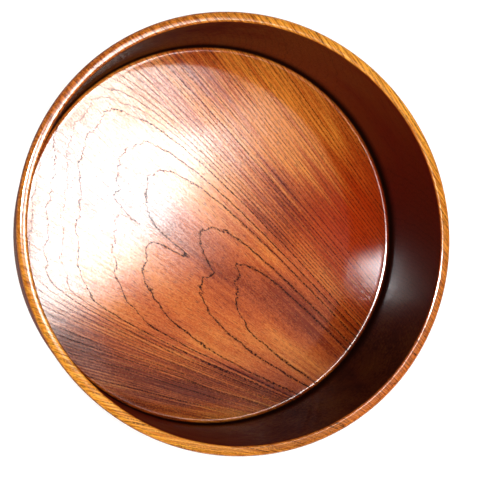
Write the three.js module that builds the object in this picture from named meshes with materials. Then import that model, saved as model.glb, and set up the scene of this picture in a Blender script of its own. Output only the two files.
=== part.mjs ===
// A round tea utensil chest: an open turned body, and its loose over-lid laid on the table beside it.
// Each piece is turned from one block of zelkova, with nearly upright walls and rounded edges.
// Millimetres, +Z up. The origin is on the table, in the middle of the two pieces' footprint.
import * as THREE from "three";

// Body
const MOUTH_RADIUS = 150; // outside of the wall at the mouth, as turned
const BODY_HEIGHT = 112;
const RIM_WIDTH = 7.6; // wall thickness at the mouth
const WALL_TAPER = 3.4; // how much narrower the outside is at the underside than at the mouth
const BORE_TAPER = 0.6; // how much narrower the inside is at the floor than at the mouth
const FLOOR_THICKNESS = 9;
const FLOOR_FILLET = 3.2; // hollow round between the floor and the wall
const BASE_ROUND = 12; // roundness of the lower outside edge
const RIM_ROUND_OUTSIDE = 3.6;
const RIM_ROUND_INSIDE = 1.8;

// Foot ring under the body, with the underside hollowed inside it
const FOOT_INSET = 30.6; // from the line of the wall in to the ring
const FOOT_WIDTH = 9;
const FOOT_HEIGHT = 3;
const FOOT_ROUND = 1;

// Lid: a shallow cover that slips over the outside of the mouth, and serves as a tray turned over
const LID_CLEARANCE = 1; // between the mouth and the skirt, all round
const LID_DEPTH = 46; // how far the skirt reaches down over the body
const LID_THICKNESS = 8;
const SKIRT_WIDTH = 6.4; // wall thickness at the skirt's edge
const SKIRT_FLARE = 1.2; // how much wider the skirt is at its edge than at the top
const SKIRT_ROUND = 2.4; // roundness of the skirt's edge, inside and outside
const LID_SHOULDER = 14; // roundness of the upper outside edge

// Seasoning: the wood has drawn in across the grain, so the mouth and the lid are a little oval
const GRAIN_ANGLE = THREE.MathUtils.degToRad(138); // direction of the grain, from +X
const MOUTH_OVAL = 2.2; // what the mouth's radius has gained along the grain and lost across it

// Clear table between the body and the lid
const LID_GAP = 105;

// Facets
const SEGMENTS = 72;
const ARC_STEP = THREE.MathUtils.degToRad(15);

const LACQUERED_ZELKOVA = { roughness: 0.3, metalness: 0 };
const BODY_COLOUR = 0x8a4a24;
const LID_COLOUR = 0x93522a;

const OVAL_SHARE = MOUTH_OVAL / MOUTH_RADIUS;
const LID_BORE = MOUTH_RADIUS + LID_CLEARANCE;
const LID_RADIUS = LID_BORE + SKIRT_FLARE + SKIRT_WIDTH;

// The points of an arc of the given roundness, tangent to both sides of a corner.
function roundCorner(corner, before, after, roundness) {
  const toBefore = before.clone().sub(corner).normalize();
  const toAfter = after.clone().sub(corner).normalize();
  const half = toBefore.angleTo(toAfter) / 2;
  const inward = toBefore.clone().add(toAfter).normalize();
  const centre = inward.multiplyScalar(roundness / Math.sin(half)).add(corner);
  const reach = roundness / Math.tan(half);
  const start = toBefore.multiplyScalar(reach).add(corner).sub(centre);
  const end = toAfter.multiplyScalar(reach).add(corner).sub(centre);
  const turn = Math.atan2(start.cross(end), start.dot(end));
  const steps = Math.max(2, Math.round(Math.abs(turn) / ARC_STEP));
  const points = [];
  for (let step = 0; step <= steps; step++) {
    const spoke = start.clone().rotateAround(new THREE.Vector2(), (turn * step) / steps);
    points.push(spoke.add(centre));
  }
  return points;
}

// A lathe profile from [radius, height, roundness] corners.
function roundedProfile(corners) {
  const places = corners.map(([radius, height]) => new THREE.Vector2(radius, height));
  return corners.flatMap(([, , roundness], i) =>
    roundness ? roundCorner(places[i], places[i - 1], places[i + 1], roundness) : [places[i]],
  );
}

// A turned piece standing on Z, gone oval with the grain. ovalAt gives the change of radius at each
// height, as a share of the radius.
function turned(name, colour, corners, ovalAt) {
  const geometry = new THREE.LatheGeometry(roundedProfile(corners), SEGMENTS).rotateX(Math.PI / 2);
  const position = geometry.getAttribute("position");
  for (let i = 0; i < position.count; i++) {
    const oval = ovalAt(position.getZ(i));
    position.setXY(i, position.getX(i) * (1 + oval), position.getY(i) * (1 - oval));
  }
  geometry.computeVertexNormals();
  const material = new THREE.MeshStandardMaterial({ color: colour, ...LACQUERED_ZELKOVA });
  const mesh = new THREE.Mesh(geometry, material);
  mesh.name = name;
  mesh.rotation.z = GRAIN_ANGLE;
  return mesh;
}

// The body, from the middle of its underside out over the foot ring, up the wall, over the rim, down
// the inside and back along the floor. The foot stays round, and the mouth has moved the most.
function chestBody() {
  const base = MOUTH_RADIUS - WALL_TAPER;
  const mouth = MOUTH_RADIUS - RIM_WIDTH;
  const foot = base - FOOT_INSET;
  const floor = FOOT_HEIGHT + FLOOR_THICKNESS;
  const corners = [
    [0, FOOT_HEIGHT],
    [foot - FOOT_WIDTH, FOOT_HEIGHT, FOOT_ROUND],
    [foot - FOOT_WIDTH, 0, FOOT_ROUND],
    [foot, 0, FOOT_ROUND],
    [foot, FOOT_HEIGHT, FOOT_ROUND],
    [base, FOOT_HEIGHT, BASE_ROUND],
    [MOUTH_RADIUS, BODY_HEIGHT, RIM_ROUND_OUTSIDE],
    [mouth, BODY_HEIGHT, RIM_ROUND_INSIDE],
    [mouth - BORE_TAPER, floor, FLOOR_FILLET],
    [0, floor],
  ];
  return turned("chest_body", BODY_COLOUR, corners, (z) => (OVAL_SHARE * z) / BODY_HEIGHT);
}

// The lid, mouth down, from the middle of its hollow out over the skirt's edge and up to its top.
// Its hollow has the rim's own roundness in the corner, so that it seats on the rim.
function overLid() {
  const top = LID_DEPTH + LID_THICKNESS;
  const corners = [
    [0, LID_DEPTH],
    [LID_BORE, LID_DEPTH, RIM_ROUND_OUTSIDE],
    [LID_BORE + SKIRT_FLARE, 0, SKIRT_ROUND],
    [LID_RADIUS, 0, SKIRT_ROUND],
    [LID_RADIUS - SKIRT_FLARE, top, LID_SHOULDER],
    [0, top],
  ];
  return turned("lid", LID_COLOUR, corners, () => OVAL_SHARE);
}

// How far an oval piece reaches along X from its axis.
function reachAlongX(radius) {
  const along = radius * (1 + OVAL_SHARE) * Math.cos(GRAIN_ANGLE);
  const across = radius * (1 - OVAL_SHARE) * Math.sin(GRAIN_ANGLE);
  return Math.hypot(along, across);
}

const bodyReach = reachAlongX(MOUTH_RADIUS);
const lidReach = reachAlongX(LID_RADIUS);
const halfLength = bodyReach + LID_GAP / 2 + lidReach;

const body = chestBody();
body.position.x = bodyReach - halfLength;
const lid = overLid();
lid.position.x = halfLength - lidReach;

const chest = new THREE.Group();
chest.add(body, lid);

export default chest;
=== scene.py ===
"""A round tea utensil chest turned from zelkova, standing open, with its over-lid laid beside it."""
import math

import bmesh
import bpy
from mathutils import Matrix, Vector


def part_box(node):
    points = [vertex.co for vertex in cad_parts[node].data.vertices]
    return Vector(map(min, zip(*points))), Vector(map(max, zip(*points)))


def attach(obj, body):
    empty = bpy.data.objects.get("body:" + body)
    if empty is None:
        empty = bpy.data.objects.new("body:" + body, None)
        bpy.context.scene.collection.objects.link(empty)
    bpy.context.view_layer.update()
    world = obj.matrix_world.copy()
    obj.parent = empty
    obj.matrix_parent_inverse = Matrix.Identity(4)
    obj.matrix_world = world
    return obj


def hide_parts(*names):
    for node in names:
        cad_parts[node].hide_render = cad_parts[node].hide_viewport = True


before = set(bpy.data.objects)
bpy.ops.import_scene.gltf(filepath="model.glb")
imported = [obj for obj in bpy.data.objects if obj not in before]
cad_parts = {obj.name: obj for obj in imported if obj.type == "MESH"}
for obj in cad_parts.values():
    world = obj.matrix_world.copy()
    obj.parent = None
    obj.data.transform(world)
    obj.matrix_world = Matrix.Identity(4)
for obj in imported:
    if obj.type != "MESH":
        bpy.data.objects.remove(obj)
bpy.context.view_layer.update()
body_low, body_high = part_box("chest_body")
lid_low, lid_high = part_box("lid")

MM = 0.001

# Turned sizes, in millimetres
MOUTH_RADIUS = 150
RIM_WIDTH = 7.6
WALL_TAPER = 3.4
BORE_TAPER = 0.6
FLOOR_THICKNESS = 9
FLOOR_FILLET = 3.2
BASE_ROUND = 12
RIM_ROUND_OUTSIDE = 3.6
RIM_ROUND_INSIDE = 1.8
FOOT_INSET = 30.6
FOOT_WIDTH = 9
FOOT_HEIGHT = 3
FOOT_ROUND = 1
LID_CLEARANCE = 1
LID_THICKNESS = 8
SKIRT_WIDTH = 6.4
SKIRT_FLARE = 1.2
SKIRT_ROUND = 2.4
LID_SHOULDER = 14
BODY_HEIGHT = (body_high.z - body_low.z) / MM
LID_HEIGHT = (lid_high.z - lid_low.z) / MM
FLOOR_HEIGHT = FOOT_HEIGHT + FLOOR_THICKNESS

# The wood has drawn in across its grain, so the mouth and the lid are a little oval
GRAIN_ANGLE = math.radians(138)
MOUTH_OVAL = 2.2
OVAL_SHARE = MOUTH_OVAL / MOUTH_RADIUS

# Fineness of the turned surfaces, in millimetres where it is a length
SPIN_STEPS = 240
ARC_SEGMENTS = 10
LONGEST_STEP = 2.2
MERGED_WITHIN = 0.001

BODY_CENTRE = (body_low + body_high) / 2
LID_CENTRE = (lid_low + lid_high) / 2


def linear(hex_colour):
    """An sRGB hex colour as linear RGBA."""
    channels = [int(hex_colour[i:i + 2], 16) / 255 for i in (1, 3, 5)]
    return (*[c / 12.92 if c <= 0.04045 else ((c + 0.055) / 1.055) ** 2.4 for c in channels], 1.0)


def smooth_step(low, high, value):
    """How far a value has come from low to high, easing in and out."""
    share = min(max((value - low) / (high - low), 0), 1)
    return share * share * (3 - 2 * share)


# Growth rings of the block, in millimetres: u along the grain, v across it, z above the chest's floor.
# The rings rise out of the floor towards one end, so the floor shows nested arches, and a flute in the
# trunk clefts each arch on one side. They stand closer on the narrow side of the heart, and crowd
# together outside the arches on the wide side.
PITH_END = 140
HEART_LINE = 9
HEART_WIDTH = 7.5
NARROW_FAN = 0.0015
WIDE_FAN = 0.0038
NARROW_PACE = 10.9
NARROW_POWER = 0.84
WIDE_PACE = 8.3
WIDE_POWER = 0.77
CROWDED_FROM = 76
CROWDED_PACE = 3.2
FLUTE_AT = 23.3
FLUTE_DRIFT = 0.152
FLUTE_WIDTH = 4.8
FLUTE_DEPTH = 46
FLUTE_FROM = (-38, 10)
FLUTE_TO = (90, 0)
SHOULDER = 58
SHOULDER_WIDTH = 43
RING_BLUNTNESS = 4
RISE_SHARE = 0.6

# How far out the first ring lines lie, and the even step from the last of them on
RING_LINES = (127.6, 163, 212.6, 237.4, 266.7)
RING_STEP = 12

# The lid was cut a little further along the same trunk
LID_ALONG = -12
LID_ACROSS = 14


def across_grain(u, v):
    """Distance across the grain from the heart line, spreading with the rings."""
    off_heart = v - HEART_LINE
    return off_heart / (1 + (WIDE_FAN if off_heart > 0 else NARROW_FAN) * u)


def growth(u, v, z):
    """How far out in the trunk a point lies."""
    flute = v - FLUTE_AT - FLUTE_DRIFT * u
    shoulder = SHOULDER * (1 + math.tanh(flute / SHOULDER_WIDTH)) / 2
    fluted = smooth_step(*FLUTE_FROM, u) * smooth_step(*FLUTE_TO, u)
    cleft = FLUTE_DEPTH * fluted * math.exp(-abs(flute) / FLUTE_WIDTH)
    rise = abs(u + PITH_END + z + shoulder + cleft)
    across = across_grain(u, v)
    narrow = NARROW_PACE * math.hypot(max(-across, 0), RISE_SHARE * z) ** NARROW_POWER
    wide = WIDE_PACE * math.hypot(max(across - HEART_WIDTH, 0), RISE_SHARE * z) ** WIDE_POWER
    wide += CROWDED_PACE * max(across - CROWDED_FROM, 0)
    blunted = rise ** RING_BLUNTNESS + narrow ** RING_BLUNTNESS + wide ** RING_BLUNTNESS
    return blunted ** (1 / RING_BLUNTNESS)


def ring_number(u, v, z):
    """The count of rings from the heart, whole on each ring line."""
    out = growth(u, v, z)
    if out >= RING_LINES[-1]:
        return len(RING_LINES) - 1 + (out - RING_LINES[-1]) / RING_STEP
    number = max(sum(out >= line for line in RING_LINES) - 1, 0)
    inner, outer = RING_LINES[number:number + 2]
    return number + (out - inner) / (outer - inner)


def ring_slope(u, v, z):
    """How many rings a millimetre along each axis crosses."""
    return Vector((
        ring_number(u + 1, v, z) - ring_number(u - 1, v, z),
        ring_number(u, v + 1, z) - ring_number(u, v - 1, z),
        ring_number(u, v, z + 1) - ring_number(u, v, z - 1),
    )) / 2


def as_object(name, bm):
    """The finished mesh as an object of the scene."""
    mesh = bpy.data.meshes.new(name)
    bm.to_mesh(mesh)
    bm.free()
    made = bpy.data.objects.new(name, mesh)
    bpy.context.scene.collection.objects.link(made)
    return made


# What each point of a turned piece keeps of its wood and film: the count of rings, how many of them a
# millimetre of the surface and of the grain crosses, the place across the grain, how far the film is worn,
# and how far it has run together in the corner of the floor, where painted shade darkens it as well
WOOD_AND_FILM = ("ring", "pace", "climb", "across", "worn", "pool_and_shade")


def turn(name, corners, oval_at, worn_at, pool_and_shade_at, place, in_block):
    """A piece turned from [radius, height, roundness] corners, with its wood and film kept as attributes."""
    bm = bmesh.new()
    verts = [bm.verts.new((radius, 0, height)) for radius, height, _ in corners]
    for first, second in zip(verts, verts[1:]):
        bm.edges.new((first, second))
    for vert, (_, _, roundness) in zip(verts, corners):
        if roundness:
            bmesh.ops.bevel(bm, geom=[vert], offset=roundness, offset_type="OFFSET", affect="VERTICES",
                            segments=ARC_SEGMENTS, profile=0.5, material=-1)
    for edge in list(bm.edges):
        cuts = int(edge.calc_length() / LONGEST_STEP)
        if cuts:
            bmesh.ops.subdivide_edges(bm, edges=[edge], cuts=cuts)
    bmesh.ops.spin(bm, geom=bm.verts[:] + bm.edges[:], cent=(0, 0, 0), axis=(0, 0, 1),
                   angle=math.tau, steps=SPIN_STEPS, use_merge=True)
    bmesh.ops.remove_doubles(bm, verts=bm.verts, dist=MERGED_WITHIN)
    bmesh.ops.recalc_face_normals(bm, faces=bm.faces)
    bm.normal_update()
    ring, pace, climb, across, worn, pool_and_shade = [bm.verts.layers.float.new(key) for key in WOOD_AND_FILM]
    for vert in bm.verts:
        block = in_block @ vert.co
        slope = ring_slope(*block)
        radius = math.hypot(vert.co.x, vert.co.y)
        oval = oval_at(vert.co.z)
        vert[ring] = ring_number(*block)
        vert[pace] = (slope - vert.normal * slope.dot(vert.normal)).length
        vert[climb] = slope.x
        vert[across] = across_grain(block.x, block.y)
        vert[worn] = worn_at(radius, vert.co.z)
        vert[pool_and_shade] = pool_and_shade_at(radius, vert.co.z)
        vert.co.x *= 1 + oval
        vert.co.y *= 1 - oval
    for face in bm.faces:
        face.smooth = True
    bmesh.ops.scale(bm, verts=bm.verts, vec=(MM, MM, MM))
    bmesh.ops.rotate(bm, verts=bm.verts, cent=(0, 0, 0), matrix=Matrix.Rotation(GRAIN_ANGLE, 3, "Z"))
    bmesh.ops.translate(bm, verts=bm.verts, vec=(place.x, place.y, 0))
    return as_object(name, bm)


# Wear and lacquer, in millimetres from the edge or the floor: the film is thin and golden on the edges,
# further down outside than inside, and has run together in the corner of the floor, which is darkened
# there with painted shade as well
WORN_OUTSIDE = (2.4, 0.5)
WORN_INSIDE = (0.9, 0.15)
POOL_AND_SHADE_FROM = (0.2, 1.6)
POOL_AND_SHADE_TO = (20, 5)


def chest_body():
    """The open body, from the middle of its underside over foot, wall and rim to the middle of its floor."""
    base = MOUTH_RADIUS - WALL_TAPER
    mouth = MOUTH_RADIUS - RIM_WIDTH
    foot = base - FOOT_INSET
    corners = [
        (0, FOOT_HEIGHT, 0),
        (foot - FOOT_WIDTH, FOOT_HEIGHT, FOOT_ROUND),
        (foot - FOOT_WIDTH, 0, FOOT_ROUND),
        (foot, 0, FOOT_ROUND),
        (foot, FOOT_HEIGHT, FOOT_ROUND),
        (base, FOOT_HEIGHT, BASE_ROUND),
        (MOUTH_RADIUS, BODY_HEIGHT, RIM_ROUND_OUTSIDE),
        (mouth, BODY_HEIGHT, RIM_ROUND_INSIDE),
        (mouth - BORE_TAPER, FLOOR_HEIGHT, FLOOR_FILLET),
        (0, FLOOR_HEIGHT, 0),
    ]
    middle_of_wall = MOUTH_RADIUS - RIM_WIDTH / 2

    def oval_at(height):
        return OVAL_SHARE * height / BODY_HEIGHT

    def worn_at(radius, height):
        reach = WORN_OUTSIDE if radius > middle_of_wall else WORN_INSIDE
        return smooth_step(*reach, BODY_HEIGHT - height)

    # Pooled lacquer and painted shade: darkest just above the corner of the floor, fading up the wall
    def pool_and_shade_at(radius, height):
        above = height - FLOOR_HEIGHT
        return (radius < middle_of_wall) * smooth_step(*POOL_AND_SHADE_FROM, above) * smooth_step(*POOL_AND_SHADE_TO, above)

    in_block = Matrix.Translation((0, 0, -FLOOR_HEIGHT))
    return turn("turned_chest_body", corners, oval_at, worn_at, pool_and_shade_at, BODY_CENTRE, in_block)


def over_lid():
    """The lid, mouth down, from the middle of its hollow over the skirt's edge to the middle of its top."""
    depth = LID_HEIGHT - LID_THICKNESS
    bore = MOUTH_RADIUS + LID_CLEARANCE
    outside = bore + SKIRT_FLARE + SKIRT_WIDTH
    corners = [
        (0, depth, 0),
        (bore, depth, RIM_ROUND_OUTSIDE),
        (bore + SKIRT_FLARE, 0, SKIRT_ROUND),
        (outside, 0, SKIRT_ROUND),
        (outside - SKIRT_FLARE, LID_HEIGHT, LID_SHOULDER),
        (0, LID_HEIGHT, 0),
    ]

    def oval_at(height):
        return OVAL_SHARE

    def worn_at(radius, height):
        return smooth_step(*WORN_INSIDE, height)

    def pool_and_shade_at(radius, height):
        return 0

    in_block = Matrix.Translation((LID_ALONG, LID_ACROSS, -LID_HEIGHT))
    return turn("turned_lid", corners, oval_at, worn_at, pool_and_shade_at, LID_CENTRE, in_block)


def empty_nodes(owner):
    """The node tree of a material or the world, cleared for its own nodes."""
    owner.use_nodes = True
    owner.node_tree.nodes.clear()
    return owner.node_tree.nodes


def add(nodes, kind, links=None, output=0, **settings):
    """Adds a node, sets its properties, sets or links its inputs, and gives back one of its outputs."""
    node = nodes.new(kind)
    for key, value in settings.items():
        setattr(node, key, value)
    for socket, value in (links or {}).items():
        if isinstance(value, bpy.types.NodeSocket):
            node.id_data.links.new(value, node.inputs[socket])
        else:
            node.inputs[socket].default_value = value
    return node.outputs[output] if node.outputs else node


# A Mix node of colours has its share in input 0, its colours in inputs 6 and 7, and the result in output 2
COLOURS = {"output": 2, "data_type": "RGBA"}

# Zelkova under wiped lacquer: a ring-porous wood, so each ring starts with a line of open pores that the
# lacquer leaves dark and dull, over a lighter streaked brown. The film is clear, amber and glossy on the
# flats, and thicker, redder and duller on the walls, where it was wiped round the lathe marks.
# Pores are really 0.2 to 0.3 mm wide: they are drawn coarser here, so that they show.

# Length, width and depth of the patches of each pattern in millimetres, and its fineness. The first ones
# bend with the rings, and the others run straight along the block.
BENT_PATTERNS = {
    "lump": ((70, 8, 8), 1),
    "ragged": ((45, 1.3, 1.3), 2),
    "cloud": ((120, 55, 55), 2),
    "streak": ((150, 4, 4), 2),
    "fibre": ((34, 1.1, 1.1), 3),
    "pore": ((5.5, 0.75, 0.75), 1),
}
STRAIGHT_PATTERNS = {
    "bend": ((10, 6, 6), 2),
    "dot": ((1.5, 1.1, 1.1), 1),
    "speckle": ((1.4, 0.9, 0.9), 1),
}

# Ring lines: how far in millimetres the fibres carry them along the grain, how much of a ring they
# wander, their width from the first rings to the later ones, and how faint a year or a dot of one may be
LUMP_REACH_MM = 14
RAGGED_REACH_MM = 3.5
BEND_REACH = 0.32
LINE_CORE_MM = 0.15
HEART_LINE_MM = 1.25
LINE_MM = 0.8
WIDE_RINGS = (1, 3)
STRONG_RINGS = (4, 5)
HEART_EDGE = (-0.5, -0.4)
FAINTEST_YEAR = 0.4
YEAR_RANGE = 0.5
DOT_EDGE = (0.32, 0.55)
FAINTEST_DOT = 0.2

# Pores between the lines, and how much of them shows on a wall
PORE_EDGE = (0.55, 0.7)
PORE_STRENGTH = 0.55
PORES_ON_WALL = 0.4

# Shares of each pattern in the colour of the wood. Rings that crowd together show the most streaks, and the
# narrow side of the heart is lighter.
STREAK_SHARE = 0.9
FIBRE_SHARE = 0.6
STRIPE_MIDDLE = -0.75
SPECKLE_SHARE = 0.4
CLOUD_SHARE = 1.5
CLOUD_MIDDLE = -0.45
CROWDED_RINGS = (0.04, 0.3)
LEAST_STREAKS = 0.3
LIGHT_SIDE_MM = (-20, -110)
LIGHT_SIDE_SHARE = 0.16
BROWNS = ((0.25, "#7d2806"), (0.5, "#b65117"), (0.8, "#db7f2b"))

# The board is redder at one end of its narrow side
RED_END = "#ad3107"
RED_END_MM = (-15, -80)
RED_SIDE_MM = (-35, -85)
RED_SHARE = 0.9

# Walls, worn edges, pooled lacquer with painted shade in the corner of the floor, and open pores
FACING_UP = (0.3, 0.8)
SIDE_GRAIN = "#5a180e"
END_GRAIN = "#1a0f0d"
WALL_SHARE = 0.8
FLECK_EDGE = (0.32, 0.66)
GOLDEN = ("#c46a12", "#f9ae3e")
RUSSET = ("#7a2c0a", "#d5762c")
# Near black for the corner of the floor: pooled lacquer and painted shade together
POOL_AND_SHADE = "#1c0a05"
OPEN_PORE = "#241009"

# The film: how rough the wood under it is on walls and flats, how much of its gloss the walls keep, what
# open pores and the dull corner of the floor take from it, and where wiping left it thin
WALL_ROUGHNESS = 0.6
FLAT_ROUGHNESS = 0.3
PORE_ROUGHNESS = 0.6
FIBRE_HEIGHT = 0.2
BUMP_STRENGTH = 0.12
BUMP_MM = 0.12
WALL_GLOSS = 0.12
POOL_DULLNESS = 0.85
PORE_DULLNESS = 0.8
WIPED_EDGE = (0.8, 1.15)
WIPED_GLOSS = 0.5
FILM_ROUGHNESS = 0.09


def lacquered_zelkova(name, centre):
    material = bpy.data.materials.new(name)
    nodes = empty_nodes(material)
    ring, pace, climb, across, worn, pool_and_shade = [
        add(nodes, "ShaderNodeAttribute", output="Fac", attribute_name=key) for key in WOOD_AND_FILM]
    place = add(nodes, "ShaderNodeTexCoord", output="Object")
    grain = add(nodes, "ShaderNodeMapping", {
        "Vector": place, "Location": (centre.x, centre.y, 0), "Rotation": (0, 0, GRAIN_ANGLE),
        "Scale": (MM, MM, MM)}, vector_type="TEXTURE")
    u, v, z = add(nodes, "ShaderNodeSeparateXYZ", {0: grain}).node.outputs
    flow = add(nodes, "ShaderNodeCombineXYZ", {"X": u, "Y": across, "Z": z})
    noise = {}
    for run, patterns in ((flow, BENT_PATTERNS), (grain, STRAIGHT_PATTERNS)):
        for pattern, (size, detail) in patterns.items():
            patches = add(nodes, "ShaderNodeMapping", {"Vector": run, "Scale": [1 / mm for mm in size]})
            noise[pattern] = add(nodes, "ShaderNodeTexNoise", {
                "Vector": patches, "Scale": 1, "Detail": detail})
    normal = add(nodes, "ShaderNodeNewGeometry", output="Normal")
    upward = add(nodes, "ShaderNodeSeparateXYZ", {0: normal}).node.outputs["Z"]
    facing_up = add(nodes, "ShaderNodeMath", {0: upward}, operation="ABSOLUTE")
    flat = add(nodes, "ShaderNodeMapRange", {
        "Value": facing_up, "From Min": FACING_UP[0], "From Max": FACING_UP[1]})

    # Ring lines: each fibre carries the rings a little further along or back, so the arches are ragged and
    # their legs smooth. Then the distance in millimetres to the nearest line.
    half_reach = (LUMP_REACH_MM + RAGGED_REACH_MM) / 2
    carried = add(nodes, "ShaderNodeMath", {0: noise["ragged"], 1: RAGGED_REACH_MM, 2: -half_reach},
                  operation="MULTIPLY_ADD")
    slid = add(nodes, "ShaderNodeMath", {0: noise["lump"], 1: LUMP_REACH_MM, 2: carried},
               operation="MULTIPLY_ADD")
    least = add(nodes, "ShaderNodeMath", {0: ring, 1: BEND_REACH / 2}, operation="SUBTRACT")
    bent = add(nodes, "ShaderNodeMath", {0: noise["bend"], 1: BEND_REACH, 2: least}, operation="MULTIPLY_ADD")
    count = add(nodes, "ShaderNodeMath", {0: slid, 1: climb, 2: bent}, operation="MULTIPLY_ADD")
    whole = add(nodes, "ShaderNodeMath", {0: count}, operation="ROUND")
    past = add(nodes, "ShaderNodeMath", {0: count, 1: whole}, operation="SUBTRACT")
    off = add(nodes, "ShaderNodeMath", {0: past}, operation="ABSOLUTE")
    away = add(nodes, "ShaderNodeMath", {0: off, 1: pace}, operation="DIVIDE")
    width = add(nodes, "ShaderNodeMapRange", {
        "Value": whole, "From Min": WIDE_RINGS[0], "From Max": WIDE_RINGS[1],
        "To Min": HEART_LINE_MM, "To Max": LINE_MM})
    line = add(nodes, "ShaderNodeMapRange", {
        "Value": away, "From Min": LINE_CORE_MM, "From Max": width, "To Min": 1, "To Max": 0},
        interpolation_type="SMOOTHSTEP")

    # Each year's line has its own strength, but the first ones are strong, and there is none in the heart
    year = add(nodes, "ShaderNodeTexWhiteNoise", {"W": whole}, noise_dimensions="1D")
    by_year = add(nodes, "ShaderNodeMath", {0: year, 1: YEAR_RANGE, 2: FAINTEST_YEAR},
                  operation="MULTIPLY_ADD")
    early = add(nodes, "ShaderNodeMapRange", {
        "Value": whole, "From Min": STRONG_RINGS[0], "From Max": STRONG_RINGS[1], "To Min": 1, "To Max": 0})
    strength = add(nodes, "ShaderNodeMath", {0: by_year, 1: early}, operation="MAXIMUM")
    heart = add(nodes, "ShaderNodeMapRange", {
        "Value": count, "From Min": HEART_EDGE[0], "From Max": HEART_EDGE[1]})
    dots = add(nodes, "ShaderNodeMapRange", {
        "Value": noise["dot"], "From Min": DOT_EDGE[0], "From Max": DOT_EDGE[1], "To Min": FAINTEST_DOT})
    yearly = add(nodes, "ShaderNodeMath", {0: line, 1: strength}, operation="MULTIPLY")
    dotted = add(nodes, "ShaderNodeMath", {0: heart, 1: dots}, operation="MULTIPLY")
    drawn = add(nodes, "ShaderNodeMath", {0: yearly, 1: dotted}, operation="MULTIPLY")

    # Short pores along the grain, which fade with the lines on the walls
    pore = add(nodes, "ShaderNodeMapRange", {
        "Value": noise["pore"], "From Min": PORE_EDGE[0], "From Max": PORE_EDGE[1], "To Max": PORE_STRENGTH})
    open_wood = add(nodes, "ShaderNodeMath", {0: drawn, 1: pore}, operation="MAXIMUM")
    shown = add(nodes, "ShaderNodeMapRange", {"Value": facing_up, "To Min": PORES_ON_WALL})
    pores = add(nodes, "ShaderNodeMath", {0: open_wood, 1: shown}, operation="MULTIPLY")

    # Clouds of colour, golden streaks, fine fibres and specks
    fibrous = add(nodes, "ShaderNodeMath", {0: noise["fibre"], 1: FIBRE_SHARE, 2: STRIPE_MIDDLE},
                  operation="MULTIPLY_ADD")
    stripe = add(nodes, "ShaderNodeMath", {0: noise["streak"], 1: STREAK_SHARE, 2: fibrous},
                 operation="MULTIPLY_ADD")
    flank = add(nodes, "ShaderNodeMapRange", {
        "Value": pace, "From Min": CROWDED_RINGS[0], "From Max": CROWDED_RINGS[1], "To Min": LEAST_STREAKS})
    cloudy = add(nodes, "ShaderNodeMath", {0: noise["cloud"], 1: CLOUD_SHARE, 2: CLOUD_MIDDLE},
                 operation="MULTIPLY_ADD")
    specked = add(nodes, "ShaderNodeMath", {0: noise["speckle"], 1: SPECKLE_SHARE, 2: cloudy},
                  operation="MULTIPLY_ADD")
    light_side = add(nodes, "ShaderNodeMapRange", {
        "Value": across, "From Min": LIGHT_SIDE_MM[0], "From Max": LIGHT_SIDE_MM[1],
        "To Max": LIGHT_SIDE_SHARE})
    lightened = add(nodes, "ShaderNodeMath", {0: specked, 1: light_side}, operation="ADD")
    mottle = add(nodes, "ShaderNodeMath", {0: stripe, 1: flank, 2: lightened}, operation="MULTIPLY_ADD")
    brown = add(nodes, "ShaderNodeValToRGB", {"Fac": mottle})
    stops = brown.node.color_ramp.elements
    stops.new(BROWNS[1][0])
    for stop, (position, shade) in zip(stops, BROWNS):
        stop.position = position
        stop.color = linear(shade)
    red_end = add(nodes, "ShaderNodeMapRange", {
        "Value": u, "From Min": RED_END_MM[0], "From Max": RED_END_MM[1], "To Max": RED_SHARE},
        interpolation_type="SMOOTHSTEP")
    red_side = add(nodes, "ShaderNodeMapRange", {
        "Value": across, "From Min": RED_SIDE_MM[0], "From Max": RED_SIDE_MM[1]})
    reddened = add(nodes, "ShaderNodeMath", {0: red_end, 1: red_side}, operation="MULTIPLY")
    tone = add(nodes, "ShaderNodeMix", {0: reddened, 6: brown, 7: linear(RED_END)}, **COLOURS)

    # Redder walls, end grain dark on walls and rim, golden worn edges, and lacquer run together in the corner
    # of the floor, darkened there further with painted shade
    spoke = add(nodes, "ShaderNodeCombineXYZ", {"X": u, "Y": v})
    outward = add(nodes, "ShaderNodeVectorMath", {0: spoke}, operation="NORMALIZE")
    along = add(nodes, "ShaderNodeSeparateXYZ", {0: outward}).node.outputs["X"]
    end_grain = add(nodes, "ShaderNodeMath", {0: along, 1: along}, operation="MULTIPLY")
    side = add(nodes, "ShaderNodeMix", {0: end_grain, 6: linear(SIDE_GRAIN), 7: linear(END_GRAIN)}, **COLOURS)
    dusky = add(nodes, "ShaderNodeMix", {0: noise["speckle"], 6: tone, 7: side}, **COLOURS)
    wall = add(nodes, "ShaderNodeMix", {0: WALL_SHARE, 6: dusky, 7: side}, **COLOURS)
    faced = add(nodes, "ShaderNodeMix", {0: flat, 6: wall, 7: tone}, **COLOURS)
    flecked = add(nodes, "ShaderNodeMapRange", {
        "Value": noise["fibre"], "From Min": FLECK_EDGE[0], "From Max": FLECK_EDGE[1]})
    golden, russet = [
        add(nodes, "ShaderNodeMix", {0: flecked, 6: linear(dark), 7: linear(light)}, **COLOURS)
        for dark, light in (GOLDEN, RUSSET)]
    bare = add(nodes, "ShaderNodeMix", {0: end_grain, 6: golden, 7: russet}, **COLOURS)
    edged = add(nodes, "ShaderNodeMix", {0: worn, 6: faced, 7: bare}, **COLOURS)
    with_pool_and_shade = add(nodes, "ShaderNodeMix", {0: pool_and_shade, 6: edged, 7: linear(POOL_AND_SHADE)}, **COLOURS)
    colour = add(nodes, "ShaderNodeMix", {0: pores, 6: with_pool_and_shade, 7: linear(OPEN_PORE)}, **COLOURS)

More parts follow.
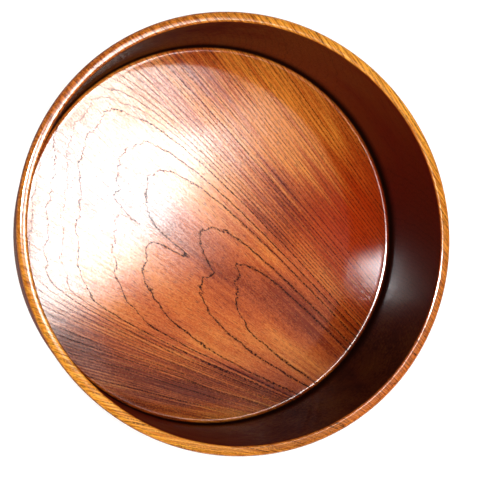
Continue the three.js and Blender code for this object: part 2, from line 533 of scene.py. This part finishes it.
    # The film breaks at the ring lines, is dull in the corner of the floor, and was wiped unevenly
    smoothness = add(nodes, "ShaderNodeMapRange", {
        "Value": flat, "To Min": WALL_ROUGHNESS, "To Max": FLAT_ROUGHNESS})
    roughness = add(nodes, "ShaderNodeMath", {0: pores, 1: PORE_ROUGHNESS, 2: smoothness},
                    operation="MULTIPLY_ADD")
    sunk = add(nodes, "ShaderNodeMath", {0: pores, 1: -1}, operation="MULTIPLY")
    height = add(nodes, "ShaderNodeMath", {0: noise["fibre"], 1: FIBRE_HEIGHT, 2: sunk},
                 operation="MULTIPLY_ADD")
    bump = add(nodes, "ShaderNodeBump", {
        "Height": height, "Strength": BUMP_STRENGTH, "Distance": BUMP_MM * MM})
    by_facing = add(nodes, "ShaderNodeMapRange", {"Value": flat, "To Min": WALL_GLOSS})
    bright = add(nodes, "ShaderNodeMath", {0: pool_and_shade, 1: -POOL_DULLNESS, 2: 1}, operation="MULTIPLY_ADD")
    gloss = add(nodes, "ShaderNodeMath", {0: by_facing, 1: bright}, operation="MULTIPLY")
    uneven = add(nodes, "ShaderNodeMath", {0: noise["fibre"], 1: noise["speckle"]}, operation="ADD")
    wiped = add(nodes, "ShaderNodeMapRange", {
        "Value": uneven, "From Min": WIPED_EDGE[0], "From Max": WIPED_EDGE[1], "To Min": WIPED_GLOSS})
    thin = add(nodes, "ShaderNodeMath", {0: gloss, 1: wiped}, operation="MULTIPLY")
    closed = add(nodes, "ShaderNodeMath", {0: drawn, 1: -PORE_DULLNESS, 2: 1}, operation="MULTIPLY_ADD")
    film = add(nodes, "ShaderNodeMath", {0: closed, 1: thin}, operation="MULTIPLY")
    shader = add(nodes, "ShaderNodeBsdfPrincipled", {
        "Base Color": colour, "Roughness": roughness, "Normal": bump, "Specular IOR Level": 0,
        "Coat Weight": film, "Coat Roughness": FILM_ROUGHNESS})
    add(nodes, "ShaderNodeOutputMaterial", {"Surface": shader})
    return material


def finish(piece, node, body, material):
    piece.data.materials.append(material)
    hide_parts(node)
    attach(piece, body)


body_finish = lacquered_zelkova("lacquered_zelkova_body", BODY_CENTRE)
lid_finish = lacquered_zelkova("lacquered_zelkova_lid", LID_CENTRE)
finish(chest_body(), "chest_body", "chest", body_finish)
finish(over_lid(), "lid", "lid", lid_finish)

# White table, in metres: it glows a little near the pieces and more further off, as a lit sweep does
TABLE_SIDE = 8.0
TABLE_WHITE = "#f1f0ee"
TABLE_ROUGHNESS = 0.7
GLOW_NEAR = 0.4
GLOW_FAR = 1.7
NEAR_GLOW = 0.22
FAR_GLOW = 0.9


def table():
    bm = bmesh.new()
    bmesh.ops.create_grid(bm, x_segments=1, y_segments=1, size=TABLE_SIDE / 2)
    sweep = as_object("table", bm)
    material = bpy.data.materials.new("white_table")
    material.cycles.emission_sampling = "NONE"
    nodes = empty_nodes(material)
    place = add(nodes, "ShaderNodeTexCoord", output="Object")
    away = add(nodes, "ShaderNodeVectorMath", {0: place}, output="Value", operation="LENGTH")
    glow = add(nodes, "ShaderNodeMapRange", {
        "Value": away, "From Min": GLOW_NEAR, "From Max": GLOW_FAR, "To Min": NEAR_GLOW, "To Max": FAR_GLOW},
        interpolation_type="SMOOTHSTEP")
    shader = add(nodes, "ShaderNodeBsdfPrincipled", {
        "Base Color": linear(TABLE_WHITE), "Roughness": TABLE_ROUGHNESS,
        "Emission Color": linear(TABLE_WHITE), "Emission Strength": glow})
    add(nodes, "ShaderNodeOutputMaterial", {"Surface": shader})
    sweep.data.materials.append(material)


# Panes of light overhead: their height in metres above the floor of the chest, and their corners in
# millimetres from above its middle
PANE_HEIGHT = 1.3
PANE_WHITE = "#fffdfa"
WINDOW_CORNERS = ((-62, -650), (760, 430))
FILL_CORNERS = ((-700, -1100), (900, 500))
FILL_LIGHT = 3.9

# The curtained window that the gloss of the floor shows: a slanted field with a veil beside it, a dimmer
# part past its top, a glow that falls off to its right, and a faint sill below. Each edge is crossed along
# a line, between two places in millimetres, and takes the light from one strength to another.
WINDOW_LINES = {
    "past_right": ("y", -0.585, "x"),
    "past_bottom": ("x", -0.65, "y"),
    "past_left": ("y", 0.3, "x"),
}
WINDOW_EDGES = {
    "field_right": ("past_right", (140, 245), (42, 0), "SMOOTHSTEP"),
    "field_bottom": ("past_bottom", (-208, -48), (0, 1), "SMOOTHSTEP"),
    "field_top": ("y", (200, 208), (0, 1), "LINEAR"),
    "veil_bottom": ("y", (70, 150), (0, 14), "LINEAR"),
    "upper_left": ("x", (-20, 40), (0, 1), "LINEAR"),
    "upper_right": ("x", (90, 330), (32, 0), "LINEAR"),
    "upper_top": ("y", (300, 430), (1, 0), "LINEAR"),
    "glow_bottom": ("y", (-145, 20), (0, 1), "SMOOTHSTEP"),
    "glow_top": ("y", (180, 330), (1, 0), "SMOOTHSTEP"),
    "sill_left": ("past_left", (-55, -20), (0, 1), "LINEAR"),
    "sill_right": ("x", (10, 110), (4.1, 0), "SMOOTHSTEP"),
    "sill_top": ("y", (80, -60), (0, 1), "SMOOTHSTEP"),
}
VEIL_RIGHT = 338
GLOW_RIGHT = 389
GLOW_FALL = 70
GLOW_MOST = 12
SILL_LEAST = 0.9


def window_light(nodes):
    """How brightly each place of the curtained window shows."""
    place = add(nodes, "ShaderNodeTexCoord", output="Object")
    from_chest = add(nodes, "ShaderNodeMapping", {
        "Vector": place, "Location": BODY_CENTRE, "Scale": (MM, MM, MM)}, vector_type="TEXTURE")
    x, y, _ = add(nodes, "ShaderNodeSeparateXYZ", {0: from_chest}).node.outputs
    along = {"x": x, "y": y}
    for line, (leaning, slant, straight) in WINDOW_LINES.items():
        along[line] = add(nodes, "ShaderNodeMath", {0: along[leaning], 1: slant, 2: along[straight]},
                          operation="MULTIPLY_ADD")
    edge = {}
    for name, (line, (start, end), (before, after), fall) in WINDOW_EDGES.items():
        edge[name] = add(nodes, "ShaderNodeMapRange", {
            "Value": along[line], "From Min": start, "From Max": end, "To Min": before, "To Max": after},
            interpolation_type=fall)
    slanted = add(nodes, "ShaderNodeMath", {0: edge["field_right"], 1: edge["field_bottom"]},
                  operation="MULTIPLY")
    beside = add(nodes, "ShaderNodeMath", {0: x, 1: VEIL_RIGHT}, operation="LESS_THAN")
    veil = add(nodes, "ShaderNodeMath", {0: beside, 1: edge["veil_bottom"]}, operation="MULTIPLY")
    field = add(nodes, "ShaderNodeMath", {0: slanted, 1: veil}, operation="MAXIMUM")
    dimmer = add(nodes, "ShaderNodeMath", {0: edge["upper_right"], 1: edge["upper_left"]},
                 operation="MULTIPLY")
    upper = add(nodes, "ShaderNodeMath", {0: dimmer, 1: edge["upper_top"]}, operation="MULTIPLY")
    window = add(nodes, "ShaderNodeMix", {0: edge["field_top"], 2: field, 3: upper})
    fallen = add(nodes, "ShaderNodeMath", {
        0: along["past_right"], 1: -1 / GLOW_FALL, 2: GLOW_RIGHT / GLOW_FALL}, operation="MULTIPLY_ADD")
    spread = add(nodes, "ShaderNodeMath", {0: fallen}, operation="EXPONENT")
    capped = add(nodes, "ShaderNodeMath", {0: spread, 1: GLOW_MOST}, operation="MINIMUM")
    band = add(nodes, "ShaderNodeMath", {0: edge["glow_top"], 1: edge["glow_bottom"]}, operation="MULTIPLY")
    glow = add(nodes, "ShaderNodeMath", {0: capped, 1: band}, operation="MULTIPLY")
    strip = add(nodes, "ShaderNodeMath", {0: edge["sill_right"], 1: edge["sill_left"], 2: SILL_LEAST},
                operation="MULTIPLY_ADD")
    sill = add(nodes, "ShaderNodeMath", {0: strip, 1: edge["sill_top"]}, operation="MULTIPLY")
    around = add(nodes, "ShaderNodeMath", {0: glow, 1: sill}, operation="MAXIMUM")
    return add(nodes, "ShaderNodeMath", {0: window, 1: around}, operation="MAXIMUM")


def pane(name, corners, light, in_gloss):
    """A glowing pane that shows only in the gloss, or else lights only the dull surfaces.

    Its light is a number, or a function that makes nodes for it.
    """
    low, high = [Vector((*corner, 0)) * MM for corner in corners]
    size = high - low
    middle = (low + high) / 2
    # A square of side 1, stretched and moved to its corners
    bm = bmesh.new()
    bmesh.ops.create_grid(bm, x_segments=1, y_segments=1, size=0.5)
    bmesh.ops.scale(bm, verts=bm.verts, vec=(size.x, size.y, 1))
    bmesh.ops.translate(bm, verts=bm.verts, vec=(
        BODY_CENTRE.x + middle.x, BODY_CENTRE.y + middle.y, FLOOR_HEIGHT * MM + PANE_HEIGHT))
    glowing = as_object(name, bm)
    glowing.visible_camera = False
    glowing.visible_diffuse = not in_gloss
    glowing.visible_glossy = in_gloss
    glowing.visible_shadow = False
    material = bpy.data.materials.new(name + "_light")
    material.cycles.emission_sampling = "NONE"
    nodes = empty_nodes(material)
    strength = light(nodes) if callable(light) else light
    shining = add(nodes, "ShaderNodeEmission", {"Color": linear(PANE_WHITE), "Strength": strength})
    add(nodes, "ShaderNodeOutputMaterial", {"Surface": shining})
    glowing.data.materials.append(material)


# A low window beyond the left rim, in metres from the middle of the chest, which the floor shows by way of
# the wall
LOW_WINDOW_WIDTH = 0.065
LOW_WINDOW_DEPTH = 0.14
LOW_WINDOW_X = -0.292
LOW_WINDOW_Y = 0.136
LOW_WINDOW_RADIANCE = 6800

# The room: light comes from near the horizon, and the camera sees it pale all over
HORIZON = (0.05, 0.4)
HORIZON_LIGHT = 0.5
CEILING_LIGHT = 0.02
ROOM_WHITE = "#f4f2ee"
BACKDROP_WHITE = "#f7f7f5"


def low_window():
    light = bpy.data.lights.new("low_window", "AREA")
    light.shape = "RECTANGLE"
    light.size = LOW_WINDOW_WIDTH
    light.size_y = LOW_WINDOW_DEPTH
    light.energy = LOW_WINDOW_RADIANCE * math.pi * LOW_WINDOW_WIDTH * LOW_WINDOW_DEPTH
    lamp = bpy.data.objects.new("low_window", light)
    lamp.location = (BODY_CENTRE.x + LOW_WINDOW_X, BODY_CENTRE.y + LOW_WINDOW_Y, PANE_HEIGHT)
    lamp.visible_diffuse = False
    bpy.context.scene.collection.objects.link(lamp)


def room():
    world = bpy.data.worlds.new("studio")
    bpy.context.scene.world = world
    nodes = empty_nodes(world)
    direction = add(nodes, "ShaderNodeTexCoord", output="Generated")
    height = add(nodes, "ShaderNodeSeparateXYZ", {0: direction}).node.outputs["Z"]
    band = add(nodes, "ShaderNodeMapRange", {
        "Value": height, "From Min": HORIZON[0], "From Max": HORIZON[1],
        "To Min": HORIZON_LIGHT, "To Max": CEILING_LIGHT})
    dim = add(nodes, "ShaderNodeBackground", {"Color": linear(ROOM_WHITE), "Strength": band})
    pale = add(nodes, "ShaderNodeBackground", {"Color": linear(BACKDROP_WHITE), "Strength": 1})
    seen = add(nodes, "ShaderNodeLightPath", output="Is Camera Ray")
    mixed = add(nodes, "ShaderNodeMixShader", {0: seen, 1: dim, 2: pale})
    add(nodes, "ShaderNodeOutputWorld", {"Surface": mixed})


# The photo's view: turn round the chest, tilt from straight above and distance in metres, aimed at a point
# of the mouth in millimetres from its middle
CAMERA_TURN = math.radians(180.6)
CAMERA_TILT = math.radians(13.6)
CAMERA_DISTANCE = 0.792
CAMERA_AIM = Vector((-2.1, -3.9, BODY_HEIGHT)) * MM
FOCAL_PIXELS = 1181
FRAME_PIXELS = 480
SENSOR_MM = 36
NEAREST_SEEN = 0.01
FARTHEST_SEEN = 100


def camera():
    data = bpy.data.cameras.new("camera")
    data.sensor_width = SENSOR_MM
    data.lens = SENSOR_MM * FOCAL_PIXELS / FRAME_PIXELS
    data.clip_start = NEAREST_SEEN
    data.clip_end = FARTHEST_SEEN
    lean = math.sin(CAMERA_TILT)
    back = Vector((lean * math.cos(CAMERA_TURN), lean * math.sin(CAMERA_TURN), math.cos(CAMERA_TILT)))
    right = Vector((0, 1, 0)).cross(back).normalized()
    up = back.cross(right)
    aim = CAMERA_AIM + Vector((BODY_CENTRE.x, BODY_CENTRE.y, 0))
    seen_from = bpy.data.objects.new("camera", data)
    turned = Matrix((right, up, back)).transposed().to_4x4()
    seen_from.matrix_world = Matrix.Translation(aim + back * CAMERA_DISTANCE) @ turned
    bpy.context.scene.collection.objects.link(seen_from)
    bpy.context.scene.camera = seen_from


table()
pane("window", WINDOW_CORNERS, window_light, in_gloss=True)
pane("fill", FILL_CORNERS, FILL_LIGHT, in_gloss=False)
low_window()
room()
camera()
bpy.context.scene.view_settings.view_transform = "Standard"
